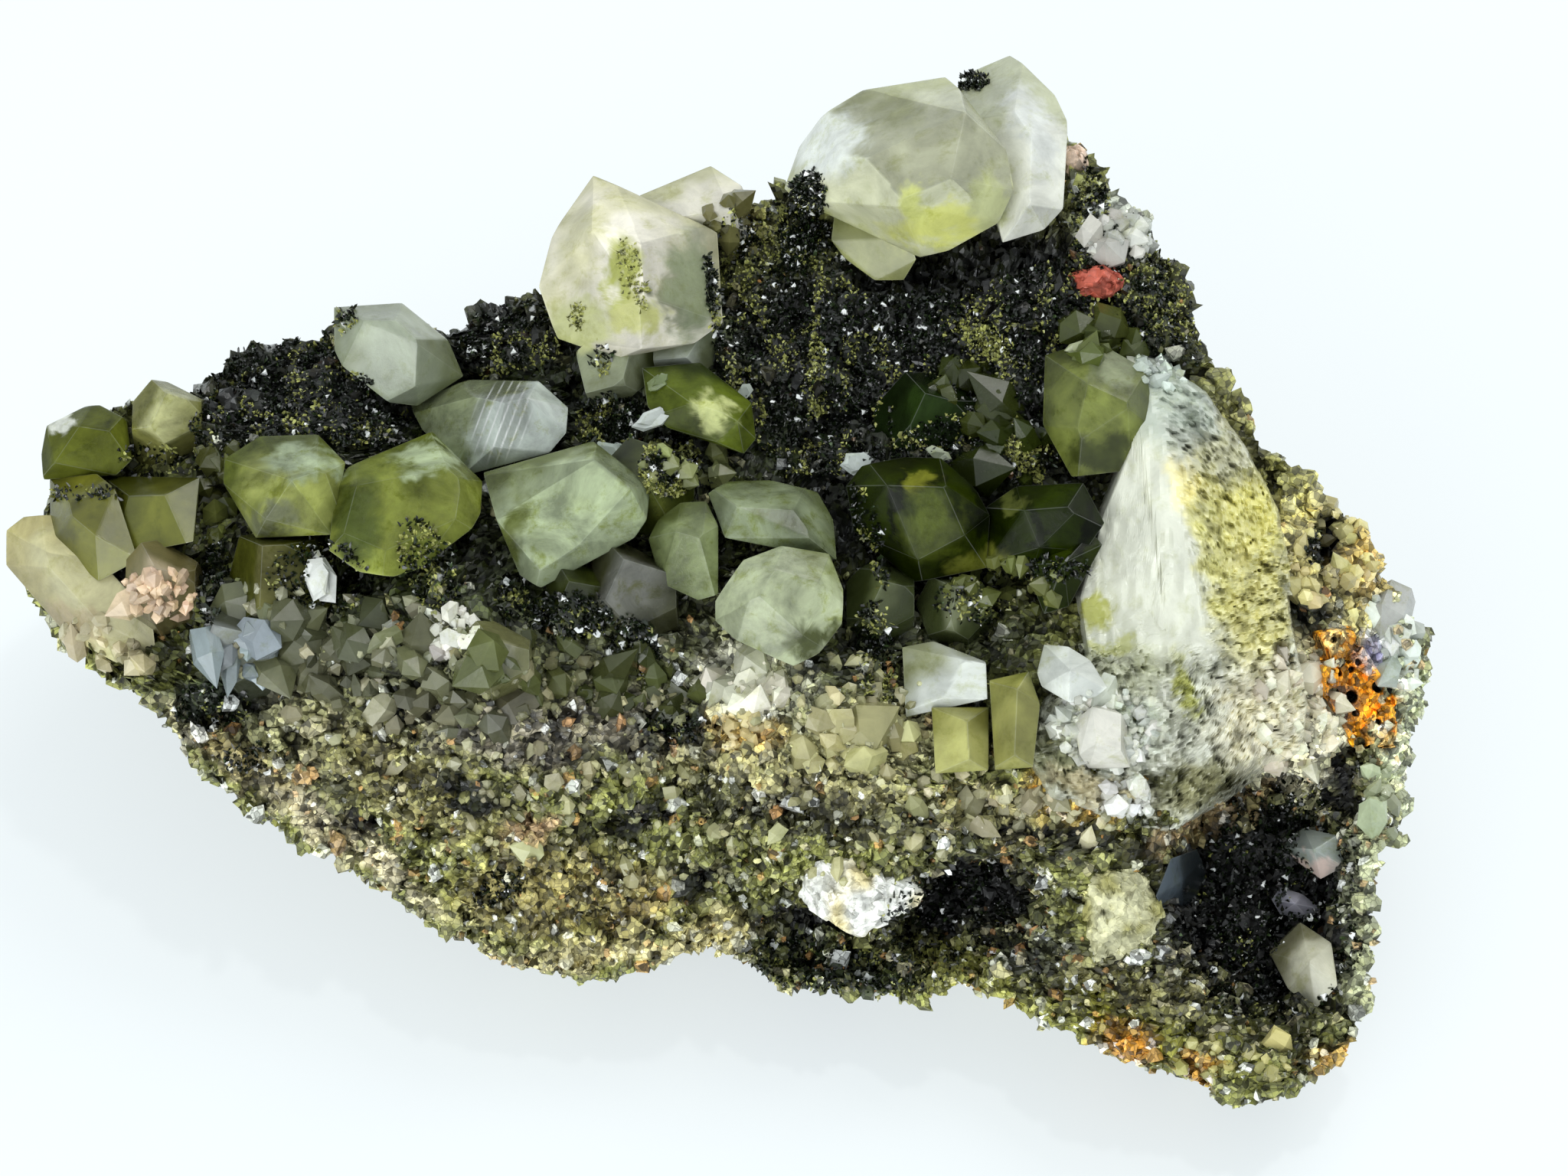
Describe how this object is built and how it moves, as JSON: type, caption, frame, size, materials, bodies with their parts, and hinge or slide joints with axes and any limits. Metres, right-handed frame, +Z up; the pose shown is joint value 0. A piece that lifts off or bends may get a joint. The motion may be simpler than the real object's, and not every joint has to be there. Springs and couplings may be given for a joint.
{
  "type": "quartz and epidote crystal cluster",
  "caption": "Natural crystal cluster: stubby quartz points and dark epidote druse grown on a broken piece of rock, resting on its flat underside.",
  "frame": {"origin": "middle of the cluster's box, on the surface that its flat underside rests on", "axes": "+X across the crystal face to the right, +Y away from the viewer, +Z up; the crystal face looks towards -Y and up, 50 degrees above the horizon"},
  "size_m": [0.0931, 0.0708, 0.0404],
  "materials": {
    "quartz": "gloss",
    "rock": "matte",
    "epidote": "gloss",
    "limonite": "matte",
    "feldspar": "satin",
    "garnet": "satin"
  },
  "bodies": {
    "root": {"epidote_druse_back": "epidote", "epidote_druse_centre": "epidote", "epidote_druse_left": "epidote", "feldspar_pale_lump": "feldspar", "feldspar_shoulder_lump": "feldspar", "feldspar_top_grain": "feldspar", "feldspar_white_lump": "feldspar", "garnet_pink_grain": "garnet", "limonite_crust": "limonite", "matrix_rock": "rock", "quartz_bright_block": "quartz", "quartz_bright_point": "quartz", "quartz_grey_grain": "quartz", "quartz_left_block": "quartz", "quartz_left_tip": "quartz", "quartz_lower_prisms": "quartz", "quartz_middle": "quartz", "quartz_olive_pair": "quartz", "quartz_olive_ridge": "quartz", "quartz_olive_small": "quartz", "quartz_pale_point": "quartz", "quartz_pocket": "quartz", "quartz_rosy_grain": "quartz", "quartz_round_grain": "quartz", "quartz_smoky_corner": "quartz", "quartz_striated": "quartz", "quartz_summit": "quartz", "quartz_twin_foot": "quartz", "quartz_veiled_block": "quartz", "quartz_vein": "quartz", "quartz_white_twins": "quartz", "quartz_window": "quartz", "vug_epidote_crust": "epidote", "vug_quartz_grey": "quartz", "vug_quartz_lower": "quartz", "vug_quartz_middle": "quartz", "vug_quartz_upper": "quartz"}
  },
  "joints": []
}
